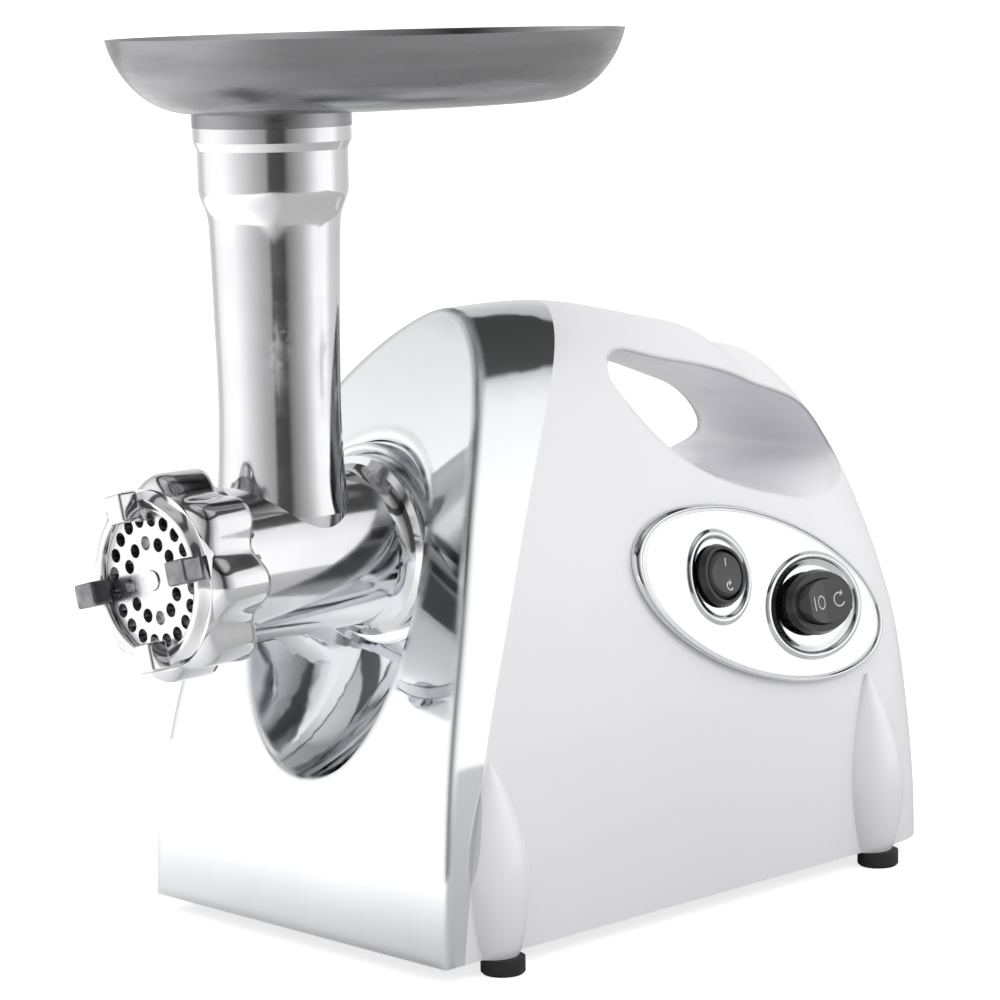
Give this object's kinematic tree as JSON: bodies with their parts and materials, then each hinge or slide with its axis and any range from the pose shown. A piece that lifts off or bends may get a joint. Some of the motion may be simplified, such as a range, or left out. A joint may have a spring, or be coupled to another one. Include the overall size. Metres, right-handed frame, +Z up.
{
  "type": "electric meat grinder",
  "caption": "Tabletop electric meat grinder: white housing with hand hole, bright front cover, metal grinding head with ring nut and plate, and a removable hopper tray.",
  "frame": {"origin": "on the floor below the middle of the whole machine's box", "axes": "+Z up, +X towards the control panel side, -Y out of the grinding head, +Y to the back"},
  "size_m": [0.1786, 0.348, 0.3282],
  "materials": {
    "white_shell": "glossy white moulded plastic",
    "bright_cover": "bright chrome plating",
    "bright_panel": "bright chrome plating with a fine satin field",
    "black_plastic": "moulded black plastic",
    "rubber": "soft black rubber",
    "switch_plastic": "black moulded plastic, semi gloss",
    "rocker_plastic": "dark grey moulded plastic, fine texture",
    "head_metal": "polished cast aluminium",
    "plate_steel": "ground steel",
    "tray_metal": "spun satin metal",
    "gear_nylon": "natural nylon",
    "gear_steel": "machined steel",
    "lamination_steel": "stacked electrical steel",
    "copper": "lacquered copper",
    "bronze": "sintered bronze",
    "board": "printed circuit board",
    "screw_steel": "zinc plated"
  },
  "bodies": {
    "base": {"base_plate": "black_plastic", "base_screws": "screw_steel", "brush_holders": "bronze", "carbon_brushes": "rubber", "control_board": "board", "control_panel": "bright_panel", "cord_gland": "black_plastic", "cradle_pad": "rubber", "direction_bezel": "switch_plastic", "field_coils": "copper", "front_cover": "bright_cover", "gear_pins": "gear_steel", "gearbox_cover": "gear_steel", "gearbox_housing": "black_plastic", "head_socket": "bright_cover", "housing_left": "white_shell", "housing_right": "white_shell", "housing_screws": "screw_steel", "motor_bearings": "gear_steel", "motor_cradle": "black_plastic", "motor_front_bracket": "lamination_steel", "motor_rear_bracket": "lamination_steel", "motor_stator": "lamination_steel", "output_bearing": "bronze", "power_bezel": "switch_plastic", "rubber_feet": "rubber"},
    "rotor": {"motor_shaft": "gear_steel", "armature": "lamination_steel", "commutator": "copper", "cooling_fan": "black_plastic", "motor_pinion": "gear_steel"},
    "first_gear": {"first_reduction_gear": "gear_nylon"},
    "second_gear": {"second_reduction_gear": "gear_nylon"},
    "output_drive": {"output_gear": "gear_steel", "drive_coupler": "gear_steel"},
    "head": {"grinding_head": "head_metal", "cutting_plate": "plate_steel"},
    "auger_and_knife": {"auger": "head_metal", "knife": "plate_steel"},
    "ring_nut": {"ring_nut": "head_metal"},
    "tray": {"hopper_tray": "tray_metal"},
    "power_rocker": {"power_rocker": "rocker_plastic"},
    "direction_rocker": {"direction_rocker": "rocker_plastic"}
  },
  "joints": [
    {"name": "motor_spin", "type": "hinge", "parent": "base", "child": "rotor", "pos_m": [0.01382, 0.075, 0.08216], "axis": [0, 1, 0], "continuous": true},
    {"name": "first_gear_spin", "type": "hinge", "parent": "base", "child": "first_gear", "pos_m": [-0.01428, 0.008, 0.06906], "axis": [0, 1, 0], "continuous": true},
    {"name": "second_gear_spin", "type": "hinge", "parent": "base", "child": "second_gear", "pos_m": [-0.0271, -0.005, 0.10429], "axis": [0, 1, 0], "continuous": true},
    {"name": "output_spin", "type": "hinge", "parent": "base", "child": "output_drive", "pos_m": [0, -0.016, 0.143], "axis": [0, 1, 0], "continuous": true},
    {"name": "head_slide", "type": "slide", "parent": "base", "child": "head", "axis": [0, -1, 0], "range_m": [0, 0.06]},
    {"name": "auger_spin", "type": "hinge", "parent": "head", "child": "auger_and_knife", "pos_m": [0, -0.1, 0.143], "axis": [0, 1, 0], "continuous": true},
    {"name": "ring_nut_turn", "type": "hinge", "parent": "head", "child": "ring_nut", "pos_m": [0, -0.15, 0.143], "axis": [0, -1, 0], "range_deg": [0, 720]},
    {"name": "tray_lift", "type": "slide", "parent": "head", "child": "tray", "axis": [0, 0, 1], "range_m": [0, 0.05]},
    {"name": "power_rocker_tip", "type": "hinge", "parent": "base", "child": "power_rocker", "pos_m": [0.07155, 0.10306, 0.10681], "axis": [-0.2065, 0, 0.9785], "range_deg": [-9, 9]},
    {"name": "direction_rocker_tip", "type": "hinge", "parent": "base", "child": "direction_rocker", "pos_m": [0.06906, 0.05054, 0.12377], "axis": [-0.0268, 0.9996, -0.0068], "range_deg": [-10, 10]}
  ],
  "couplings": [
    {"joint": "first_gear_spin", "follows": "motor_spin", "ratio": -0.19231},
    {"joint": "second_gear_spin", "follows": "motor_spin", "ratio": 0.048077},
    {"joint": "output_spin", "follows": "motor_spin", "ratio": -0.0125},
    {"joint": "auger_spin", "follows": "motor_spin", "ratio": -0.0125}
  ]
}
